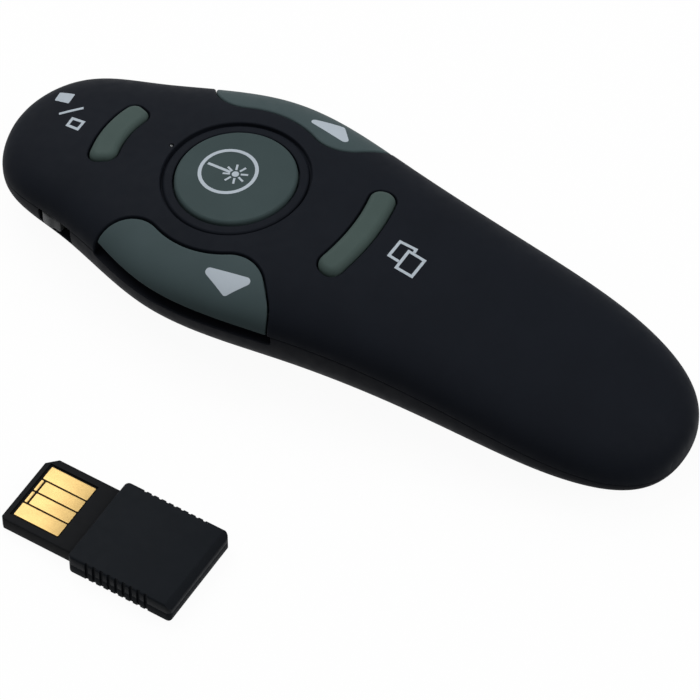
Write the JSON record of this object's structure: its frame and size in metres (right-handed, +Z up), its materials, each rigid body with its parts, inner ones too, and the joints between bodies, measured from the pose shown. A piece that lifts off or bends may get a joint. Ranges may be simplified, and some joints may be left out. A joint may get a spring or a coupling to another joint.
{
  "type": "wireless presentation clicker",
  "caption": "Palm-sized wireless presentation remote with a waisted body, round laser key, bent keys and side keys, slide switch, battery cover and a separate plug-in radio receiver.",
  "frame": {"origin": "on the flat underside of the clicker, the plane it rests on, at the middle of its length and width", "axes": "+X from the nose with the laser window to the tail, +Z up out of the keys, +Y to the far side; the receiver lies on the same plane on the -Y side"},
  "size_m": [0.1058, 0.076, 0.0181],
  "materials": {
    "case_top": "soft satin paint",
    "case_bottom": "soft satin paint",
    "bezel": "polished",
    "round_key": "satin",
    "page_key": "satin",
    "arc_key": "satin",
    "knob": "satin",
    "steel": "plain",
    "clear": "clear",
    "led": "clear resin",
    "board": "solder mask",
    "ribbon": "satin",
    "black_plastic": "moulded",
    "ivory": "moulded",
    "ceramic": "ceramic",
    "copper": "bare track",
    "brass": "turned",
    "wire": "insulated wire",
    "cell": "printed jacket, left plain",
    "receiver": "satin",
    "receiver_plug": "satin",
    "gold": "gold plate"
  },
  "bodies": {
    "case": {"top_shell": "case_top", "bottom_shell": "case_bottom", "laser_bezel": "bezel", "power_switch_body": "black_plastic", "status_light_pipe": "clear", "status_led": "led", "main_board": "board", "window_board": "board", "ribbon_cable": "ribbon", "switch_bodies": "black_plastic", "switch_covers": "steel", "radio_chip": "black_plastic", "crystal": "steel", "laser_driver": "black_plastic", "passives": "ceramic", "board_antenna": "copper", "laser_barrel": "brass", "laser_lens": "clear", "laser_diode": "brass", "laser_leads": "wire", "battery_cells": "cell", "battery_springs": "steel", "battery_plates": "steel", "battery_leads": "wire", "case_screws": "steel", "board_screws": "steel"},
    "battery_cover": {"battery_cover": "case_bottom"},
    "laser_key": {"laser_button": "round_key"},
    "laser_plunger_body": {"laser_plunger": "ivory"},
    "near_page_key": {"near_page_button": "page_key"},
    "near_page_plunger_body": {"near_page_plunger": "ivory"},
    "far_page_key": {"far_page_button": "page_key"},
    "far_page_plunger_body": {"far_page_plunger": "ivory"},
    "black_screen_key": {"black_screen_button": "arc_key"},
    "black_screen_plunger_body": {"black_screen_plunger": "ivory"},
    "window_key": {"window_button": "arc_key"},
    "window_plunger_body": {"window_plunger": "ivory"},
    "power_switch": {"power_switch_knob": "knob"},
    "receiver": {"receiver_upper_shell": "receiver", "receiver_lower_shell": "receiver", "receiver_plug": "receiver_plug", "receiver_contacts": "gold", "receiver_board": "board", "receiver_chip": "black_plastic", "receiver_crystal": "steel"}
  },
  "joints": [
    {"name": "battery_cover_hinge", "type": "hinge", "parent": "case", "child": "battery_cover", "pos_m": [0.0335, 0, 0.0001], "axis": [0, -1, 0], "range_deg": [0, 25]},
    {"name": "laser_press", "type": "slide", "parent": "case", "child": "laser_key", "axis": [0, 0, -1], "range_m": [0, 0.0005], "stiffness_N_per_m": 3000},
    {"name": "laser_plunger_slide", "type": "slide", "parent": "case", "child": "laser_plunger_body", "axis": [0, 0, -1], "range_m": [0, 0.00025]},
    {"name": "near_page_press", "type": "slide", "parent": "case", "child": "near_page_key", "axis": [0, 0, -1], "range_m": [0, 0.0005], "stiffness_N_per_m": 3000},
    {"name": "near_page_plunger_slide", "type": "slide", "parent": "case", "child": "near_page_plunger_body", "axis": [0, 0, -1], "range_m": [0, 0.00025]},
    {"name": "far_page_press", "type": "slide", "parent": "case", "child": "far_page_key", "axis": [0, 0, -1], "range_m": [0, 0.0005], "stiffness_N_per_m": 3000},
    {"name": "far_page_plunger_slide", "type": "slide", "parent": "case", "child": "far_page_plunger_body", "axis": [0, 0, -1], "range_m": [0, 0.00025]},
    {"name": "black_screen_press", "type": "slide", "parent": "case", "child": "black_screen_key", "axis": [0, 0, -1], "range_m": [0, 0.0005], "stiffness_N_per_m": 3000},
    {"name": "black_screen_plunger_slide", "type": "slide", "parent": "case", "child": "black_screen_plunger_body", "axis": [0, 0, -1], "range_m": [0, 0.00025]},
    {"name": "window_press", "type": "slide", "parent": "case", "child": "window_key", "axis": [0, 0, -1], "range_m": [0, 0.0005], "stiffness_N_per_m": 3000},
    {"name": "window_plunger_slide", "type": "slide", "parent": "case", "child": "window_plunger_body", "axis": [0, 0, -1], "range_m": [0, 0.00025]},
    {"name": "power_switch_slide", "type": "slide", "parent": "case", "child": "power_switch", "axis": [1, 0, 0], "range_m": [0, 0.002]},
    {"name": "receiver_lift", "type": "slide", "parent": "case", "child": "receiver", "axis": [0, 0, 1], "range_m": [0, 0.03]}
  ],
  "couplings": [
    {"joint": "laser_plunger_slide", "follows": "laser_press", "ratio": 0.5},
    {"joint": "near_page_plunger_slide", "follows": "near_page_press", "ratio": 0.5},
    {"joint": "far_page_plunger_slide", "follows": "far_page_press", "ratio": 0.5},
    {"joint": "black_screen_plunger_slide", "follows": "black_screen_press", "ratio": 0.5},
    {"joint": "window_plunger_slide", "follows": "window_press", "ratio": 0.5}
  ]
}
